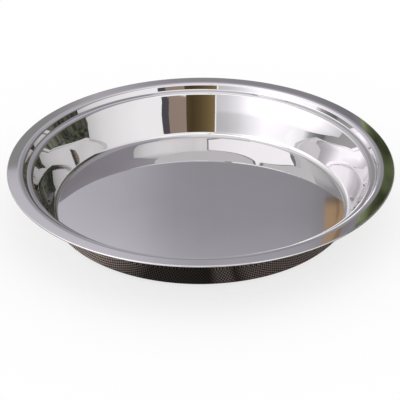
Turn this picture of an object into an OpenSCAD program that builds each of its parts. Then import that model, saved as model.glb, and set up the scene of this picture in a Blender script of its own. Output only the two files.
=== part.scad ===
// Dough kneading plate: a round, shallow dish pressed from one stainless sheet, with a flat floor,
// a flared side wall whose head leans out a little more, a ledge that falls a little inwards, a short
// riser, and a level rim that rolls over towards the riser and whose edge is folded under.
// Millimetres, +Z up. The origin is the centre of the underside that stands on the table.
// Each node is one formed zone of the sheet, and neighbouring zones meet face to face.

/* [Rim] */
// Outer diameter over the folded edge
rim_d = 360; // [260:1:460]
// Width of the level part of the rim, from its outer edge
rim_w = 9.7; // [8:0.1:20]
// Thickness of the folded edge, over both layers of sheet
hem_t = 2; // [1.8:0.1:3]
// How far the folded layer reaches back under the rim
hem_w = 6; // [3:0.5:8]
// Radius of the roll from the rim down to the riser
roll_r = 22; // [10:1:30]
// How far the roll turns down before the riser, in degrees
roll_turn = 13; // [6:1:16]

/* [Step] */
// Drop from the rim to the foot of the riser
step_h = 5.6; // [5:0.1:8]
// Width of the ledge, from the foot of the riser to the head of the wall
ledge_w = 6; // [5:0.1:12]
// Fall of the ledge towards the middle, in degrees
ledge_fall = 7; // [0:1:12]
// Radius of the bends at the top and the foot of the riser, on the upper face
bend_r = 1.5; // [1.2:0.1:2]

/* [Dish] */
// Overall height, from the table to the top of the rim
height = 46.2; // [36:0.1:80]
// Lean of the side wall and the riser off the vertical, in degrees
flare = 22.5; // [10:0.5:35]
// How much more the head of the wall leans, in degrees
head_lean = 6; // [1:0.5:10]
// Height of the head of the wall, below the ledge
head_h = 12; // [8:0.5:12]
// Radius of the bend from the ledge into the wall, on the upper face
wall_bend_r = 3; // [1.5:0.5:4]
// Radius of the bend round the floor, on the upper face
floor_bend_r = 6.5; // [2:0.5:8]

/* [Sheet] */
// Thickness of the steel
sheet_t = 0.8; // [0.5:0.1:0.9]

/* [Hidden] */
$fn = 180;
bend_steps = 12;
steel = "silver";

// Slopes of the wall and the riser, and of the head of the wall. Every slope here is how steeply a run
// falls inwards, in degrees.
steep = 90 - flare;
head_steep = steep - head_lean;

// One step outwards along a run of that slope, and one step square to it, out of its upper face
function along(slope) = [cos(slope), sin(slope)];
function out_of(slope) = [-sin(slope), cos(slope)];

// Distance from a sharp corner to where a bend of that radius starts
function reach(r, turn) = r * tan(abs(turn) / 2);

// Radii where the rim changes form
fold_r = rim_d / 2 - hem_t / 2;
hem_end_r = rim_d / 2 - hem_w;
hem_z = height - hem_t;

// Sharp corners that the bends of the upper face round off, from the rim inwards
roll_corner = [rim_d / 2 - rim_w - reach(roll_r, roll_turn), height];
roll_run = reach(roll_r, roll_turn) + reach(bend_r, steep - roll_turn);
riser_corner = roll_corner - roll_run * along(roll_turn);
ledge_z = height - step_h;
ledge_corner = [riser_corner.x - (riser_corner.y - ledge_z) * tan(flare), ledge_z];
wall_corner = ledge_corner - ledge_w * [1, tan(ledge_fall)];
head_corner = wall_corner - head_h * [tan(flare + head_lean), 1];
floor_corner = [head_corner.x - (head_corner.y - sheet_t) * tan(flare), sheet_t];
floor_r = floor_corner.x - reach(floor_bend_r, steep);

// The bend below the head is so wide that it reaches half the head's height to each side
head_bend_r = head_h / 2 / tan(head_lean / 2);

// Points of a bend between two runs, from the outer slope to the inner one.
// depth is how far the face lies below the upper face, through the sheet.
function bend(corner, outer, inner, r, depth) =
    let (
        round = inner > outer ? 1 : -1,
        start = corner + reach(r, inner - outer) * along(outer),
        centre = start - round * r * out_of(outer)
    )
    [for (i = [0:bend_steps])
        let (slope = outer + (inner - outer) * i / bend_steps)
        centre + round * (r - round * depth) * out_of(slope)];

function roll_bend(depth) = bend(roll_corner, 0, roll_turn, roll_r, depth);
function riser_bend(depth) = bend(riser_corner, roll_turn, steep, bend_r, depth);
function ledge_bend(depth) = bend(ledge_corner, steep, ledge_fall, bend_r, depth);
function wall_bend(depth) = bend(wall_corner, ledge_fall, head_steep, wall_bend_r, depth);
function head_bend(depth) = bend(head_corner, head_steep, steep, head_bend_r, depth);
function floor_bend(depth) = bend(floor_corner, steep, 0, floor_bend_r, depth);

function arc(centre, r, from, to) =
    [for (i = [0:bend_steps]) let (a = from + (to - from) * i / bend_steps) centre + r * [cos(a), sin(a)]];

function reversed(points) = [for (i = [len(points) - 1:-1:0]) points[i]];

// Ring of sheet between its two faces, each a list of points in the same order
module sheet_ring(upper, lower) {
    color(steel) rotate_extrude() polygon(concat(upper, reversed(lower)));
}

// Flat disc that the dough is worked on, and that the plate stands on
module floor() {
    color(steel) cylinder(h = sheet_t, r = floor_r);
}

// Bend down from the ledge, head of the wall, flared wall, and the bend round the floor
module side_wall() {
    function face(depth) = concat(wall_bend(depth), head_bend(depth), floor_bend(depth));
    sheet_ring(face(0), face(sheet_t));
}

// Bend down from the roll, short riser, and the ledge as far as its bend into the wall
module rim_step() {
    function face(depth) = concat(riser_bend(depth), ledge_bend(depth), [wall_bend(depth)[0]]);
    sheet_ring(face(0), face(sheet_t));
}

// Level rim, and its roll down towards the riser
module rim_flange() {
    function face(depth) = concat([[fold_r, height - depth]], roll_bend(depth));
    sheet_ring(face(0), face(sheet_t));
}

// Edge folded back under the rim, with a narrow gap left between the layers
module rim_hem() {
    fold_centre = [fold_r, height - hem_t / 2];
    sheet_ring(
        concat(arc(fold_centre, hem_t / 2, 90, -90), [[hem_end_r, hem_z]]),
        concat(arc(fold_centre, hem_t / 2 - sheet_t, 90, -90), [[hem_end_r, hem_z + sheet_t]])
    );
}

floor();
side_wall();
rim_step();
rim_flange();
rim_hem();
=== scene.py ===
# %% [markdown]
# # A dough kneading plate in polished stainless steel
# The real plate starts as one flat disc of thin sheet. A press draws it into a shallow dish, and its edge is
# folded back under the rim so that nothing sharp is left to hold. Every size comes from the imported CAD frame,
# so the first step loads that frame and notes the box that the finished plate has to fill.

# %% Load the frame
import math

import bmesh
import bpy
from mathutils import Matrix, Quaternion, Vector, noise


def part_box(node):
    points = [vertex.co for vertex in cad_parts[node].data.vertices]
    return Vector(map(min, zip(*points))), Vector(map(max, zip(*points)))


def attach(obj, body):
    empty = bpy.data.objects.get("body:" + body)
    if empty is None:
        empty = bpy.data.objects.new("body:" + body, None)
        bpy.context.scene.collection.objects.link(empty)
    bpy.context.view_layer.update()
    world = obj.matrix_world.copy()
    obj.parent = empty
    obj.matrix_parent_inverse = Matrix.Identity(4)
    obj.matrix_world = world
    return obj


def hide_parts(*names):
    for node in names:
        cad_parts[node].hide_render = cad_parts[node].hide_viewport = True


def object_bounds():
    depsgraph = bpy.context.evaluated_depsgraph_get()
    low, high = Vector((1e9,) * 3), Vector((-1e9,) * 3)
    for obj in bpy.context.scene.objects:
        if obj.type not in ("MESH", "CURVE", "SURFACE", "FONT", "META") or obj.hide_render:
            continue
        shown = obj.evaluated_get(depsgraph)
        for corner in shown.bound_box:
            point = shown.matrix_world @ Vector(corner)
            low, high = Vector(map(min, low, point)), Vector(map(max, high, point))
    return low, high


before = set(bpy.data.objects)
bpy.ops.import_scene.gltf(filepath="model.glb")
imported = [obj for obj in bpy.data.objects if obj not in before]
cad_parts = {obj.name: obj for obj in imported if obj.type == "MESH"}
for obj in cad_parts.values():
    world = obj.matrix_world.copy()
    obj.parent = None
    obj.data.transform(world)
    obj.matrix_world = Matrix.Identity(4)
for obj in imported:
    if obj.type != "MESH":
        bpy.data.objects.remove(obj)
cad_low, cad_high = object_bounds()
print("CAD box, mm:", [round(1000 * side, 2) for side in cad_high - cad_low])

# %% [markdown]
# The CAD model divides the sheet into formed zones: floor, side wall, step, rim and hem. Their boxes give
# the radius and the level at which each zone ends. The slopes and the radii of the bends can't be read from
# a box, so these are named here. A slope is how steeply a run of the sheet falls towards the middle.

# %% Sizes of the sheet
WALL_SLOPE = math.radians(67.5)
HEAD_SLOPE = math.radians(61.5)
LEDGE_SLOPE = math.radians(7)
ROLL_SLOPE = math.radians(13)
LEDGE_W = 0.006
HEAD_H = 0.012
BEND_R = 0.0015
ROLL_R = 0.022
WALL_BEND_R = 0.003
FLOOR_BEND_R = 0.0065

floor_low, floor_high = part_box("floor")
wall_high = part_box("side_wall")[1]
step_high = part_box("rim_step")[1]
hem_low, hem_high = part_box("rim_hem")

SHEET = floor_high.z - floor_low.z
FLOOR_R = floor_high.x
RIM_R = hem_high.x
HEIGHT = hem_high.z
HEM_Z = hem_low.z
HEM_END_R = min(v.co.xy.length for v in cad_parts["rim_hem"].data.vertices)
print("rim radius, mm:", round(1000 * RIM_R, 2), " sheet, mm:", round(1000 * SHEET, 2))

# %% [markdown]
# A bend is easiest to describe by the sharp corner that it rounds off. The distance from that corner to
# where the bend begins is its radius times the tangent of half its turn. Two zones end where a bend begins,
# so their boxes lead to the corners of the wall and of the riser, and the other corners follow from these.
# The head of the wall leans out a little more than the rest, and the bend between the two is very wide.

# %% Corners of the cross-section


def along(slope):
    """One step outwards along a run of that slope."""
    return Vector((math.cos(slope), math.sin(slope)))


def out_of(slope):
    """One step square to such a run, out of its upper face."""
    return Vector((-math.sin(slope), math.cos(slope)))


def reach(radius, turn):
    """Distance from a sharp corner to where its bend begins."""
    return radius * math.tan(abs(turn) / 2)


wall_head = Vector((wall_high.x - SHEET * math.sin(LEDGE_SLOPE), wall_high.z))
riser_head = Vector((step_high.x - SHEET * math.sin(ROLL_SLOPE), step_high.z))

floor_corner = Vector((FLOOR_R + reach(FLOOR_BEND_R, WALL_SLOPE), SHEET))
wall_corner = wall_head - reach(WALL_BEND_R, HEAD_SLOPE - LEDGE_SLOPE) * along(LEDGE_SLOPE)
head_corner = wall_corner - HEAD_H * Vector((1 / math.tan(HEAD_SLOPE), 1))
head_bend_r = HEAD_H / 2 / math.tan((WALL_SLOPE - HEAD_SLOPE) / 2)
ledge_corner = wall_corner + LEDGE_W * Vector((1, math.tan(LEDGE_SLOPE)))
riser_corner = riser_head - reach(BEND_R, WALL_SLOPE - ROLL_SLOPE) * along(ROLL_SLOPE)
roll_corner = riser_head + reach(ROLL_R, ROLL_SLOPE) * along(ROLL_SLOPE)
print("roll corner below the rim, mm:", round(1000 * (HEIGHT - roll_corner.y), 4))

# %% [markdown]
# A narrow pressed ledge springs back a little when the press opens, so it ends up crowned: its outer half
# is flatter than its inner half. That is about a tenth of a millimetre, but polished steel shows it as a
# dark line that fades inwards. One more corner in the middle of the ledge, with a very wide bend, gives the
# crown.

# %% Crown of the ledge
CROWN_SLOPE = math.radians(2.5)
CROWN_R = 0.034

ledge_in_slope = LEDGE_SLOPE + CROWN_SLOPE
ledge_out_slope = LEDGE_SLOPE - CROWN_SLOPE
half_ledge = (ledge_corner - wall_corner).length / 2
crown_rise = half_ledge * math.tan(CROWN_SLOPE)
crown_corner = (wall_corner + ledge_corner) / 2 + crown_rise * out_of(LEDGE_SLOPE)
print("crown's corner above the straight ledge, mm:", round(1000 * crown_rise, 3))

# %% [markdown]
# With the crown, the sheet has seven bends. Each is listed from the middle outwards with its corner, the
# slopes before and after it, and its radius on the upper face. The lower face lies one sheet thickness
# deeper, so there a hollow bend is wider by that much and a round one is tighter. Some bends touch their
# neighbours, so every bend stops a hair short.

# %% Bends of the two faces
BEND_PIECES = 10
ALMOST = 0.99

bends = [
    (floor_corner, 0, WALL_SLOPE, FLOOR_BEND_R),
    (head_corner, WALL_SLOPE, HEAD_SLOPE, head_bend_r),
    (wall_corner, HEAD_SLOPE, ledge_in_slope, WALL_BEND_R),
    (crown_corner, ledge_in_slope, ledge_out_slope, CROWN_R),
    (ledge_corner, ledge_out_slope, WALL_SLOPE, BEND_R),
    (riser_corner, WALL_SLOPE, ROLL_SLOPE, BEND_R),
    (roll_corner, ROLL_SLOPE, 0, ROLL_R),
]


def face_bends(depth):
    """Corner, reach and number of short edges of each bend, on the face that lies so deep in the sheet."""
    found = []
    for corner, before, after, radius in bends:
        turn = after - before
        square = out_of((before + after) / 2) / math.cos(turn / 2)
        bend_r = radius + math.copysign(depth, turn)
        found.append((corner - depth * square, ALMOST * reach(bend_r, turn), BEND_PIECES))
    return found


upper_face = face_bends(0)
lower_face = face_bends(SHEET)
print("bends on each face:", len(upper_face))

# %% [markdown]
# The edge folds straight back under the rim, with a narrow gap between the two layers. Its outer and its
# inner side are half circles, each made from two corners, and the cut end of the sheet is only deburred.

# %% The folded edge
FOLD_PIECES = 8
CUT_PIECES = 3
CUT_EDGE_R = 0.0001

fold_reach = ALMOST * (HEIGHT - HEM_Z) / 2
gap_reach = fold_reach - ALMOST * SHEET
folded_edge = [
    (Vector((RIM_R, HEIGHT)), fold_reach, FOLD_PIECES),
    (Vector((RIM_R, HEM_Z)), fold_reach, FOLD_PIECES),
    (Vector((HEM_END_R, HEM_Z)), CUT_EDGE_R, CUT_PIECES),
    (Vector((HEM_END_R, HEM_Z + SHEET)), CUT_EDGE_R, CUT_PIECES),
    (Vector((RIM_R - SHEET, HEM_Z + SHEET)), gap_reach, CUT_PIECES),
    (Vector((RIM_R - SHEET, HEIGHT - SHEET)), gap_reach, CUT_PIECES),
]
print("gap in the fold, mm:", round(2000 * gap_reach / ALMOST, 2))

# %% [markdown]
# The cross-section is one closed outline. It could be drawn as hundreds of points, but a mesh operator does
# it better: the sharp corners become one flat face, and a vertex bevel then rounds each corner to its own
# reach.

# %% The outline with its bends
on_axis_above = (Vector((0, SHEET)), 0, 0)
on_axis_below = (Vector((0, 0)), 0, 0)
outline = [on_axis_above, *upper_face, *folded_edge, *reversed(lower_face), on_axis_below]

sheet = bmesh.new()
corners = [sheet.verts.new((place.x, 0, place.y)) for place, _, _ in outline]
sheet.faces.new(corners)
for corner, (_, bend_reach, pieces) in zip(corners, outline):
    if pieces:
        bmesh.ops.bevel(
            sheet, geom=[corner], offset=bend_reach, offset_type="OFFSET", segments=pieces,
            profile=0.5, affect="VERTICES", material=-1,
        )
print("points round the cross-section:", len(sheet.verts))

# %% [markdown]
# Long straight runs need points of their own, because later the sheet gets the faint unevenness of a pressing
# and only points can move. So every long edge is subdivided. The face and the edge on the axis have then done
# their work and go, which leaves an open line to spin.

# %% Rings on the flat runs
RING_STEP = 0.005

for edge in [e for e in sheet.edges if e.calc_length() > 2 * RING_STEP]:
    bmesh.ops.subdivide_edges(sheet, edges=[edge], cuts=round(edge.calc_length() / RING_STEP) - 1)
bmesh.ops.delete(sheet, geom=list(sheet.faces), context="FACES_ONLY")
axis_edges = [e for e in sheet.edges if all(v.co.x < SHEET / 2 for v in e.verts)]
bmesh.ops.delete(sheet, geom=axis_edges, context="EDGES")
print("points along the line:", len(sheet.verts), " edges:", len(sheet.edges))

# %% [markdown]
# Spinning the line once round the axis makes the whole dish, inside and outside, as one closed skin. The
# two points on the axis are spun into hundreds of copies, so doubles are merged to close both poles, and
# only then are the normals turned outwards.

# %% Spin the dish
SPIN_STEPS = 360
SAME_PLACE = 1e-6

bmesh.ops.spin(
    sheet, geom=list(sheet.verts) + list(sheet.edges), cent=(0, 0, 0), axis=(0, 0, 1), dvec=(0, 0, 0),
    angle=math.tau, steps=SPIN_STEPS, use_merge=True, use_duplicate=False,
)
bmesh.ops.remove_doubles(sheet, verts=list(sheet.verts), dist=SAME_PLACE)
bmesh.ops.recalc_face_normals(sheet, faces=list(sheet.faces))
open_edges = [e for e in sheet.edges if not e.is_manifold]
print("faces:", len(sheet.faces), " open edges:", len(open_edges))
print("volume, cm3:", round(1e6 * sheet.calc_volume(), 2))

# %% [markdown]
# No pressed sheet is a perfect mirror. The floor is very slightly wavy, and the wall keeps soft waves from
# the drawing, which is what makes reflections in it wander. A texture could fake this, but real moves of the
# points show in every view and in the mesh itself. All moves point inwards, so the plate stays in its box:
# the wall only shrinks, and points low down only rise while points at the top only sink. The shift picks the
# part of the noise that is used.

# %% Faint unevenness of the pressing
FLOOR_WAVE = 0.00004
FLOOR_WAVES_PER_M = 11
WALL_WAVE = 0.0005
WALL_WAVES_PER_M = 16
NOISE_SHIFT = Vector((0, 0, 15.37))


def wave(place, per_metre):
    """A smooth random value from 0 to 1 that changes over the given number of waves in a metre."""
    return min(1, max(0, 0.5 + 0.5 * noise.noise(place * per_metre + NOISE_SHIFT)))


for vert in sheet.verts:
    outward = Vector((vert.co.x, vert.co.y, 0))
    height_share = vert.co.z / HEIGHT
    on_wall = math.sin(math.pi * height_share) ** 2
    shrink = WALL_WAVE * on_wall * wave(vert.co, WALL_WAVES_PER_M)
    rise = FLOOR_WAVE * (1 - 2 * height_share) * wave(vert.co, FLOOR_WAVES_PER_M)
    if outward.length > FLOOR_R:
        vert.co -= outward.normalized() * shrink
    vert.co.z += rise
print("highest point, mm:", round(1000 * max(v.co.z for v in sheet.verts), 3))

# %% [markdown]
# One sheet still has three finishes: the mirror inside and on the rim, the plainer outside that nobody
# polishes twice, and the thin cut edge hidden in the fold. Which one a face gets follows from where it is
# and looks: up for the mirror, down for the outside, and the end of the fold for the cut edge.

# %% Faces to finishes
INSIDE, OUTSIDE, CUT_EDGE = 0, 1, 2

for face in sheet.faces:
    middle = face.calc_center_median()
    at_fold_end = abs(middle.xy.length - HEM_END_R) < CUT_EDGE_R and middle.z > HEM_Z
    face.smooth = True
    face.material_index = INSIDE if face.normal.z > 0 else OUTSIDE
    if at_fold_end and middle.z < HEM_Z + SHEET:
        face.material_index = CUT_EDGE
counts = [sum(f.material_index == m for f in sheet.faces) for m in (INSIDE, OUTSIDE, CUT_EDGE)]
print("faces inside, outside and on the cut edge:", counts)

# %% [markdown]
# The mesh becomes an object that sits at the origin, rides on the plate's only body and stands for all five
# CAD zones. A Weighted Normal modifier lets the large flat faces win over the small ones of the bends, so
# flats stay flat in reflection right up to the bend.

# %% The plate as an object
plate_mesh = bpy.data.meshes.new("pressed_sheet")
sheet.to_mesh(plate_mesh)
sheet.free()
plate = bpy.data.objects.new("pressed_sheet", plate_mesh)
bpy.context.scene.collection.objects.link(plate)
flats = plate.modifiers.new("flats_stay_flat", "WEIGHTED_NORMAL")
flats.mode = "FACE_AREA"
flats.keep_sharp = True

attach(plate, "root")
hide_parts("floor", "side_wall", "rim_step", "rim_flange", "rim_hem")
print("plate:", len(plate_mesh.polygons), "faces")

# %% [markdown]
# The finishes share three effects, and each is a node group so that every material can set its own strength.
# Nodes are made and linked in many places, so three small helpers come first.

# %% Helpers for shader nodes


def new_group(name, inputs, outputs):
    """An empty shader group with float inputs (name, value), float outputs, and its two end nodes."""
    group = bpy.data.node_groups.new(name, "ShaderNodeTree")
    for socket_name, value in inputs:
        socket = group.interface.new_socket(socket_name, in_out="INPUT", socket_type="NodeSocketFloat")
        socket.default_value = value
    for socket_name in outputs:
        group.interface.new_socket(socket_name, in_out="OUTPUT", socket_type="NodeSocketFloat")
    return group, group.nodes.new("NodeGroupInput"), group.nodes.new("NodeGroupOutput")


def add(tree, kind, inputs=None, **settings):
    """A new node with its settings, whose inputs are set to values or linked from other sockets."""
    node = tree.nodes.new(kind)
    for name, setting in settings.items():
        setattr(node, name, setting)
    for key, value in (inputs or {}).items():
        if isinstance(value, bpy.types.NodeSocket):
            tree.links.new(value, node.inputs[key])
        else:
            node.inputs[key].default_value = value
    return node


def math_node(tree, operation, first, second=0.0):
    """One Math node of two terms, each a number or a socket."""
    return add(tree, "ShaderNodeMath", {0: first, 1: second}, operation=operation).outputs[0]


print("node helpers ready")

# %% [markdown]
# The first effect is polishing lines. The plate turns under a polishing wheel, so the lines run round it and
# depend only on how far along the sheet a point lies. Radius plus height gives that distance closely enough.

# %% Polishing lines
polish_lines, ends_in, ends_out = new_group("polish_lines", [("Lines per metre", 2500)], ["Lines"])
place = add(polish_lines, "ShaderNodeTexCoord").outputs["Object"]
flat_place = add(polish_lines, "ShaderNodeVectorMath", {0: place, 1: (1, 1, 0)}, operation="MULTIPLY")
radius = add(polish_lines, "ShaderNodeVectorMath", {0: flat_place.outputs[0]}, operation="LENGTH")
level = add(polish_lines, "ShaderNodeSeparateXYZ", {"Vector": place}).outputs["Z"]
run = math_node(polish_lines, "ADD", radius.outputs["Value"], level)
count = math_node(polish_lines, "MULTIPLY", run, ends_in.outputs["Lines per metre"])
grainy = {"W": count, "Scale": 1.0, "Detail": 4.0}
grain = add(polish_lines, "ShaderNodeTexNoise", grainy, noise_dimensions="1D")
polish_lines.links.new(grain.outputs["Fac"], ends_out.inputs["Lines"])
print("group:", polish_lines.name)

# %% [markdown]
# The second effect is hairline scratches from scrapers and washing. Noise that is stretched almost a
# hundredfold along one direction gives fine streaks, and a ramp keeps only their crests. Three such layers,
# each turned another way, cross like real scratches do.

# %% Hairline scratches
SCRATCH_TURNS = (0.4, 1.5, 2.6)
SCRATCH_STRETCH = (1.0, 0.012, 1.0)

scratch_inputs = [("Scratches per metre", 900), ("Share", 0.3)]
hairlines, ends_in, ends_out = new_group("hairlines", scratch_inputs, ["Mask"])
place = add(hairlines, "ShaderNodeTexCoord").outputs["Object"]
least = math_node(hairlines, "SUBTRACT", 1.0, ends_in.outputs["Share"])
per_metre = ends_in.outputs["Scratches per metre"]
mask = 0.0
for turn in SCRATCH_TURNS:
    turning = {"Vector": place, "Location": (turn, 0, 0), "Rotation": (0, 0, turn), "Scale": SCRATCH_STRETCH}
    turned = add(hairlines, "ShaderNodeMapping", turning).outputs[0]
    streaks = add(hairlines, "ShaderNodeTexNoise", {"Vector": turned, "Scale": per_metre, "Detail": 1.0})
    crest = add(hairlines, "ShaderNodeMapRange", {"Value": streaks.outputs["Fac"], "From Min": least})
    mask = math_node(hairlines, "MAXIMUM", mask, crest.outputs["Result"])
hairlines.links.new(mask, ends_out.inputs["Mask"])
print("group:", hairlines.name)

# %% [markdown]
# The third effect is haze, the faint cloudiness that wiping leaves on polished steel. Broad soft noise is
# enough, because haze has no edges.

# %% Haze from wiping
HAZE_FROM = 0.35
HAZE_FULL = 0.75

haze, ends_in, ends_out = new_group("wiping_haze", [("Clouds per metre", 14)], ["Mask"])
place = add(haze, "ShaderNodeTexCoord").outputs["Object"]
cloudy = {"Vector": place, "Scale": ends_in.outputs["Clouds per metre"], "Detail": 3.0, "Distortion": 0.6}
clouds = add(haze, "ShaderNodeTexNoise", cloudy).outputs["Fac"]
between = {"Value": clouds, "From Min": HAZE_FROM, "From Max": HAZE_FULL}
soft = add(haze, "ShaderNodeMapRange", between, interpolation_type="SMOOTHSTEP")
haze.links.new(soft.outputs["Result"], ends_out.inputs["Mask"])
print("group:", haze.name)

# %% [markdown]
# Each finish is a Principled metal. Stainless steel is a little darker than silver. The three effects only
# nudge its roughness and its colour, and a very low bump lets the polishing lines catch the light. One
# function builds all three materials, because they differ only in strength.

# %% Steel finishes
STEEL = (0.685, 0.67, 0.68)
HAZE_DIMS = 0.96


def steel_finish(name, tint, smoothest, hazed, scratched, lines, line_height):
    """Polished steel: roughness at its smoothest, and what haze, scratches and polishing lines add to it."""
    material = bpy.data.materials.new(name)
    material.use_nodes = True
    tree = material.node_tree
    shader = tree.nodes["Principled BSDF"]
    shader.inputs["Metallic"].default_value = 1.0
    haze_mask = add(tree, "ShaderNodeGroup", node_tree=haze).outputs["Mask"]
    scratch_mask = add(tree, "ShaderNodeGroup", node_tree=hairlines).outputs["Mask"]
    line_mask = add(tree, "ShaderNodeGroup", node_tree=polish_lines).outputs["Lines"]
    rough = math_node(tree, "ADD", smoothest, math_node(tree, "MULTIPLY", haze_mask, hazed))
    rough = math_node(tree, "ADD", rough, math_node(tree, "MULTIPLY", scratch_mask, scratched))
    rough = math_node(tree, "ADD", rough, math_node(tree, "MULTIPLY", line_mask, lines))
    tree.links.new(rough, shader.inputs["Roughness"])
    clear = [channel * tint for channel in STEEL]
    dulled = [channel * HAZE_DIMS for channel in clear]
    colour = add(tree, "ShaderNodeMix", {0: haze_mask, 6: (*clear, 1), 7: (*dulled, 1)}, data_type="RGBA")
    tree.links.new(colour.outputs[2], shader.inputs["Base Color"])
    bump = add(tree, "ShaderNodeBump", {"Height": line_mask, "Strength": 1.0, "Distance": line_height})
    tree.links.new(bump.outputs["Normal"], shader.inputs["Normal"])
    return material


finishes = {
    INSIDE: steel_finish(
        "mirror_inside", tint=1.0, smoothest=0.015, hazed=0.02, scratched=0.05,
        lines=0.006, line_height=0.00000012,
    ),
    OUTSIDE: steel_finish(
        "plain_outside", tint=0.95, smoothest=0.035, hazed=0.03, scratched=0.06,
        lines=0.015, line_height=0.0000003,
    ),
    CUT_EDGE: steel_finish(
        "cut_edge", tint=0.85, smoothest=0.3, hazed=0.1, scratched=0.1,
        lines=0.1, line_height=0.000001,
    ),
}
for index in (INSIDE, OUTSIDE, CUT_EDGE):
    plate_mesh.materials.append(finishes[index])
print("finishes:", [m.name for m in plate_mesh.materials])

# %% [markdown]
# The camera looks down at the plate from a good distance, as for a catalogue picture: nine rim radii away
# and 29 degrees above the rim. It is turned by 0.3 degrees, because the plate in the picture leans by that
# much.

# %% Camera
CAMERA_RISE = math.radians(29)
CAMERA_RADII = 9
CAMERA_LEAN = math.radians(-0.30)
SENSOR_MM = 36
LENS_MM = 156.4
AIM = Vector((-0.0008, 0, 0.006))

rim_middle = Vector((0, 0, HEIGHT))
back = Vector((0, -math.cos(CAMERA_RISE), math.sin(CAMERA_RISE)))
camera_data = bpy.data.cameras.new("camera")
camera_data.sensor_width = SENSOR_MM
camera_data.lens = LENS_MM
camera = bpy.data.objects.new("camera", camera_data)
bpy.context.scene.collection.objects.link(camera)
camera.location = rim_middle + back * CAMERA_RADII * RIM_R
camera.rotation_mode = "QUATERNION"
toward = (AIM - camera.location).to_track_quat("-Z", "Y")
camera.rotation_quaternion = toward @ Quaternion((0, 0, 1), CAMERA_LEAN)
bpy.context.scene.camera = camera
print("camera at, m:", [round(c, 3) for c in camera.location])

# %% [markdown]
# The plate stands on a plain pale floor under an even white dome, so light comes from all sides and shadows
# are soft. The floor's own colour is a mid grey, and a glow that only the camera and the metal see lifts it
# to white. The shadow stays in the part that is lit, so it is a pale one.

# %% Floor and dome
FLOOR_SIDE = 60
FLOOR_GAP = 0.0002
FLOOR_GREY = 0.28
FLOOR_ROUGH = 0.9

floor_mesh = bpy.data.meshes.new("studio_floor")
floor_grid = bmesh.new()
bmesh.ops.create_grid(floor_grid, x_segments=1, y_segments=1, size=FLOOR_SIDE / 2)
floor_grid.to_mesh(floor_mesh)
floor_grid.free()
studio_floor = bpy.data.objects.new("studio_floor", floor_mesh)
studio_floor.location.z = cad_low.z - FLOOR_GAP
bpy.context.scene.collection.objects.link(studio_floor)

paper = bpy.data.materials.new("floor_paper")
paper.use_nodes = True
tree = paper.node_tree
shader = tree.nodes["Principled BSDF"]
shader.inputs["Base Color"].default_value = (FLOOR_GREY, FLOOR_GREY, FLOOR_GREY, 1)
shader.inputs["Roughness"].default_value = FLOOR_ROUGH
shader.inputs["Specular IOR Level"].default_value = 0.0
shader.inputs["Emission Color"].default_value = (1, 1, 1, 1)
path = add(tree, "ShaderNodeLightPath")
seen = math_node(tree, "MAXIMUM", path.outputs["Is Camera Ray"], path.outputs["Is Glossy Ray"])
seen = math_node(tree, "MAXIMUM", seen, path.outputs["Is Transmission Ray"])
glow = math_node(tree, "MULTIPLY", seen, 1 - FLOOR_GREY)
tree.links.new(glow, shader.inputs["Emission Strength"])
floor_mesh.materials.append(paper)

world = bpy.data.worlds.new("white_dome")
bpy.context.scene.world = world
world.use_nodes = True
dome = world.node_tree.nodes["Background"]
dome.inputs["Color"].default_value = (1, 1, 1, 1)
dome.inputs["Strength"].default_value = 1.0
bpy.context.scene.view_settings.view_transform = "Standard"
print("floor at, mm:", round(1000 * studio_floor.location.z, 2))

# %% [markdown]
# Polished metal has hardly any colour of its own: it shows what stands around it. A studio shapes that with
# cards, so this set has cards that only reflections can see. They glow by themselves, and a ramp along the
# card sets how much.

# %% Helpers for the cards
WHITE = (1, 1, 1)


def tone_ramp(tree, value, stops, tint=WHITE):
    """Tones along a value, from stops of (value, brightness) in rising order, all with one tint."""
    first = stops[0][0]
    last = stops[-1][0]
    share = add(tree, "ShaderNodeMapRange", {"Value": value, "From Min": first, "From Max": last})
    ramp = add(tree, "ShaderNodeValToRGB", {"Fac": share.outputs["Result"]})
    spots = ramp.color_ramp.elements
    spots.remove(spots[1])
    spots[0].position = 0
    for stop, _ in stops[1:]:
        spots.new((stop - first) / (last - first))
    for spot, (_, brightness) in zip(spots, stops):
        spot.color = (*[brightness * channel for channel in tint], 1)
    return ramp.outputs["Color"]


def glowing(name):
    """A material that only glows, with its node tree and its Emission node."""
    material = bpy.data.materials.new(name)
    material.use_nodes = True
    tree = material.node_tree
    tree.nodes.clear()
    light = add(tree, "ShaderNodeEmission")
    add(tree, "ShaderNodeOutputMaterial", {"Surface": light.outputs[0]})
    return material, tree, light


def for_reflections(name, form, material):
    """A stage object from a bmesh that only reflections can see."""
    mesh = bpy.data.meshes.new(name)
    form.to_mesh(mesh)
    form.free()
    mesh.materials.append(material)
    piece = bpy.data.objects.new(name, mesh)
    bpy.context.scene.collection.objects.link(piece)
    piece.visible_camera = False
    piece.visible_diffuse = False
    piece.visible_shadow = False


print("card helpers ready")

# %% [markdown]
# Most cards stand far out and curve round the plate, so each is one upright edge spun about the axis. A
# bearing of 0 is straight behind the plate and 90 is at its right. A card's glow changes with the bearing,
# and the rise above the floor scales it. Where cards overlap, the one in the nearer row shows. A card can
# also be mottled, so that a dark one isn't one dead tone.

# %% Cards round the plate
CARD_R = 12
CARD_STEP = 3
SECOND_ROW = 0.05
FRONT_ROW = 0.1
BELOW_FLOOR = -1
BLOTCH_FROM = 0.35
BLOTCH_FULL = 0.65
EVEN = ((0, 1), (1, 1))


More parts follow.
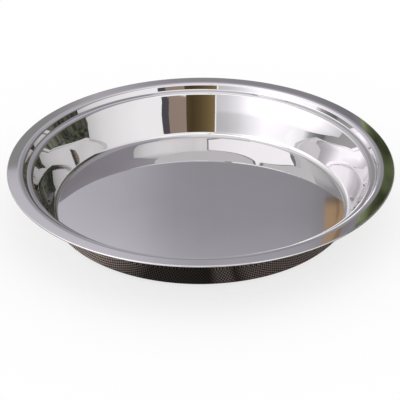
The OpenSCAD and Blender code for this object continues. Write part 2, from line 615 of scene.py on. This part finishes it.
def curved_card(name, low, high, across, up=EVEN, tint=WHITE, nearer=0, mottled=0, per_metre=1):
    """A card between two rises in degrees: (bearing, glow) across it, (rise, share of the glow) up it."""
    left = across[0][0]
    right = across[-1][0]
    form = bmesh.new()
    turn = Matrix.Rotation(math.radians(-left), 3, "Z")
    levels = [CARD_R * math.tan(math.radians(rise)) for rise in (low, high)]
    ends = [form.verts.new(turn @ Vector((0, CARD_R - nearer, level))) for level in levels]
    upright = form.edges.new(ends)
    bmesh.ops.spin(
        form, geom=[*ends, upright], cent=(0, 0, 0), axis=(0, 0, -1), dvec=(0, 0, 0),
        angle=math.radians(right - left), steps=math.ceil((right - left) / CARD_STEP),
        use_merge=False, use_duplicate=False,
    )
    material, tree, light = glowing(name)
    middle = (left + right) / 2
    place = add(tree, "ShaderNodeTexCoord").outputs["Object"]
    to_middle = {"Vector": place, "Angle": math.radians(middle)}
    turned = add(tree, "ShaderNodeVectorRotate", to_middle, rotation_type="Z_AXIS").outputs["Vector"]
    sides = add(tree, "ShaderNodeSeparateXYZ", {"Vector": turned}).outputs
    off_middle = math_node(tree, "DEGREES", math_node(tree, "ARCTAN2", sides["X"], sides["Y"]))
    bearing = math_node(tree, "ADD", off_middle, middle)
    rise = math_node(tree, "DEGREES", math_node(tree, "ARCTAN2", sides["Z"], CARD_R))
    blotchy = {"Vector": place, "Scale": per_metre, "Detail": 3.0}
    blotches = add(tree, "ShaderNodeTexNoise", blotchy).outputs["Fac"]
    spread = {
        "Value": blotches, "From Min": BLOTCH_FROM, "From Max": BLOTCH_FULL,
        "To Min": 1 - mottled, "To Max": 1 + mottled,
    }
    mottling = add(tree, "ShaderNodeMapRange", spread).outputs["Result"]
    strength = math_node(tree, "MULTIPLY", tone_ramp(tree, rise, up), mottling)
    tree.links.new(tone_ramp(tree, bearing, across, tint), light.inputs["Color"])
    tree.links.new(strength, light.inputs["Strength"])
    for_reflections(name, form, material)


print("card radius, m:", CARD_R)

# %% [markdown]
# The flat floor and the rim only see a small window straight behind the plate, a few degrees to each side
# of it, so the backdrop's grey there sets their tone. It is lighter on the left, and it fades to white higher
# up, where the ledge looks.

# %% Backdrop
VIOLET_GREY = (1.0, 0.965, 1.05)

backdrop_across = [
    (-12, 0.75), (-9, 0.7), (-7, 0.68), (-5.2, 0.62), (-3.6, 0.57), (-2.6, 0.52), (-1.9, 0.46), (-1.1, 0.41),
    (0, 0.39), (3.4, 0.38), (4.6, 0.36), (5.3, 0.31), (5.9, 0.28), (6.3, 0.26), (6.5, 0.29), (6.75, 0.28),
]
backdrop_up = [
    (-1, 1.2), (12, 1.35), (18, 1.3), (23, 1.12), (26, 0.86), (28, 0.96), (30.5, 1.0), (31.2, 1.06),
    (32.2, 1.22), (35, 1.35), (38, 1.6), (42, 2.3), (45, 2.9), (52, 3.1),
]
curved_card("backdrop", BELOW_FLOOR, 52, backdrop_across, backdrop_up, VIOLET_GREY)
print("backdrop from bearing", backdrop_across[0][0], "to", backdrop_across[-1][0])

# %% [markdown]
# Where the near rim rolls over towards the riser, it looks lower down behind the plate. Pale cards there draw
# a bright line along the end of the roll on the right, and a dark flag draws a dark line on the left. The
# further round a point of the rim lies, the higher its roll looks, so the pale cards rise in three steps.

# %% Low cards behind the plate
LINE_GLOW = 1.65

low_pale_across = [(-1.3, LINE_GLOW), (-0.9, 1.5), (-0.45, 1.15), (-0.2, 0.6), (0, 0.4)]
low_left_across = [(-2.8, LINE_GLOW), (-1.3, LINE_GLOW)]
low_far_left_across = [(-9, LINE_GLOW), (-2.8, LINE_GLOW)]
curved_card("low_pale", BELOW_FLOOR, 15, low_pale_across, nearer=FRONT_ROW)
curved_card("low_pale_left", BELOW_FLOOR, 19.5, low_left_across, nearer=FRONT_ROW)
curved_card("low_pale_far_left", BELOW_FLOOR, 23.5, low_far_left_across, nearer=FRONT_ROW)
curved_card("low_flag", BELOW_FLOOR, 22, [(0.8, 0.17), (6.5, 0.12)], nearer=FRONT_ROW)

# %% [markdown]
# Two small cards stand before the backdrop and tone the two ends of the floor: a darker grey one on the left,
# and a warm one on the right.

# %% Small cards before the backdrop
WARM_TAN = (0.5, 0.34, 0.2)

far_left_across = [(-12, 0.33), (-6.3, 0.32), (-5.4, 0.38), (-4.3, 0.52)]
warm_across = [(5.3, 1.0), (5.75, 0.95), (5.85, 0.6), (6.05, 0.6)]
warm_up = [(29.8, 0.35), (29.98, 0.4), (30.08, 1.0), (33, 1.0)]
curved_card("far_left_grey", 25, 28.95, far_left_across, nearer=FRONT_ROW)
curved_card("warm_card", 29.8, 33, warm_across, warm_up, WARM_TAN, nearer=FRONT_ROW)
print("grey card to bearing", far_left_across[-1][0], " warm card from", warm_across[0][0])

# %% [markdown]
# The walls look sideways. On the right, a dark mottled card with paler grey ones above it makes the left wall
# dark. The right end of the rim looks just past the backdrop's edge, where a narrow olive card stands.

# %% Cards on the right
DULL_GREEN = (1.02, 1.1, 0.82)
OLIVE = (1.06, 1.28, 0.62)

right_low_across = [(6.75, 0.08), (12, 0.09), (45, 0.16), (66, 0.14), (76, 0.07), (93.5, 0.07)]
right_edge_across = [(6.72, 0.28), (6.95, 0.19), (7.25, 0.1), (9.5, 0.1)]
right_high_across = [(6.5, 0.38), (14, 0.28), (45, 0.26), (93.5, 0.27)]
right_high_up = [(37, 1.0), (42, 1.35), (52, 1.6), (64, 1.75), (76, 2.2)]
right_mid_across = [(9.5, 0.22), (20, 0.27), (50, 0.27)]
curved_card("right_low", BELOW_FLOOR, 37, right_low_across, tint=DULL_GREEN, mottled=0.7, per_metre=1.8)
curved_card("right_mid", 25, 37, right_mid_across, tint=VIOLET_GREY, nearer=SECOND_ROW)
curved_card("right_edge", 20, 36, right_edge_across, tint=OLIVE, nearer=FRONT_ROW, mottled=0.6, per_metre=4)
curved_card("right_high", 37, 76, right_high_across, right_high_up, VIOLET_GREY)

# %% [markdown]
# On the left a wide soft window makes the right wall bright, and what lies below and behind it is greyer.

# %% Cards on the left
FAINT_VIOLET = (1.0, 0.985, 1.02)

back_left_across = [(-60, 1.1), (-45, 0.9), (-30, 0.68), (-22, 0.48), (-15, 0.45), (-9, 0.46)]
left_low_across = [
    (-165, 0.95), (-150, 1.2), (-135, 1.35), (-110, 1.42), (-100, 1.2), (-95, 0.5), (-90, 0.28), (-83, 0.18),
    (-80, 0.36), (-70, 0.45), (-55, 0.5), (-40, 0.5), (-12, 0.42), (-9, 0.38),
]
left_window_across = [
    (-168, 0.8), (-160, 0.92), (-152, 1.15), (-143, 1.6), (-132, 2.1), (-95, 2.1), (-85, 1.7), (-72, 1.35),
    (-60, 1.25),
]
left_window_up = [(10, 0.65), (16, 0.8), (22, 1.0), (42, 1.0), (47, 0.75), (57, 0.7)]
curved_card("back_left", 10, 52, back_left_across, nearer=SECOND_ROW)
curved_card("left_low", BELOW_FLOOR, 10, left_low_across, nearer=SECOND_ROW)
curved_card("left_window", 10, 57, left_window_across, left_window_up, FAINT_VIOLET)
print("window from bearing", left_window_across[0][0], "to", left_window_across[-1][0])

# %% [markdown]
# In front a wide bright card makes the far wall bright, apart from three small darker cards in the middle. A
# bright panel with a grey frame hangs overhead, for the far end of the floor to mirror.

# %% Cards in front and overhead
BEIGE = (1.27, 0.98, 0.81)
UMBER = (1.4, 1.0, 0.45)
SMALL_CARD_FOOT = 4
FRAME_GLOW = 0.35

front_across = [
    (93.5, 0.72), (98, 0.82), (105, 0.97), (120, 1.1), (135, 1.2), (150, 1.2), (168, 1.15), (180, 1.25),
    (192, 1.2),
]
front_up = [(-1, 1.0), (54, 1.0), (62, 1.2), (69, 1.2), (74, 1.03), (76, 1.03)]
small_cards = [
    ("front_strip", 31.2, [(151.6, 0.1), (156.8, 0.1)], VIOLET_GREY),
    ("front_pale", 31.8, [(156.8, 0.3), (169.5, 0.31)], BEIGE),
    ("front_dark", 32.6, [(169.5, 0.08), (174, 0.06), (180, 0.09), (186, 0.14), (191, 0.2)], UMBER),
]
overhead_across = [(-168, 1.6), (-120, 1.8), (-67, 1.8)]
frame_across = [(-170, FRAME_GLOW), (-65, FRAME_GLOW)]
curved_card("front", BELOW_FLOOR, 76, front_across, front_up)
for name, top, across, tint in small_cards:
    curved_card(name, SMALL_CARD_FOOT, top, across, tint=tint, nearer=FRONT_ROW)
curved_card("overhead", 57, 73, overhead_across, nearer=FRONT_ROW)
curved_card("overhead_frame", 55.8, 73.8, frame_across, nearer=SECOND_ROW)

# %% [markdown]
# The outside of the wall leans over, so it shows the ground close to the foot. A dark round card lies there,
# with a fine check so that the outside isn't one dead tone. It is darkest near the middle and lightest at its
# left end, and it reaches well past the rim, so that the folded edge mirrors it too.

# %% Card under the foot
FOOT_CARD_R = 0.28
FOOT_CARD_SIDES = 96
CHECK_M = 0.0015
CHECK_DARK = (0.006, 0.005, 0.005, 1)
CHECK_PALE = (0.12, 0.1, 0.09, 1)

foot_across = [
    (-0.14, 5.2), (-0.1, 3.8), (-0.085, 2.6), (-0.068, 1.5), (-0.052, 0.5), (0.008, 0.3), (0.016, 1.2),
    (0.027, 1.3), (0.033, 0.4), (0.045, 1.3), (0.09, 1.5), (0.14, 2.0),
]
foot_form = bmesh.new()
bmesh.ops.create_circle(foot_form, cap_ends=True, segments=FOOT_CARD_SIDES, radius=FOOT_CARD_R)
bmesh.ops.translate(foot_form, verts=foot_form.verts, vec=(0, 0, cad_low.z - FLOOR_GAP / 2))
foot_material, tree, light = glowing("foot_card")
place = add(tree, "ShaderNodeTexCoord").outputs["Object"]
tones = {"Vector": place, "Scale": 1 / CHECK_M, "Color1": CHECK_DARK, "Color2": CHECK_PALE}
check = add(tree, "ShaderNodeTexChecker", tones)
sideways = add(tree, "ShaderNodeSeparateXYZ", {"Vector": place}).outputs["X"]
tree.links.new(check.outputs["Color"], light.inputs["Color"])
tree.links.new(tone_ramp(tree, sideways, foot_across), light.inputs["Strength"])
for_reflections("foot_card", foot_form, foot_material)
print("foot card across, m:", 2 * FOOT_CARD_R)
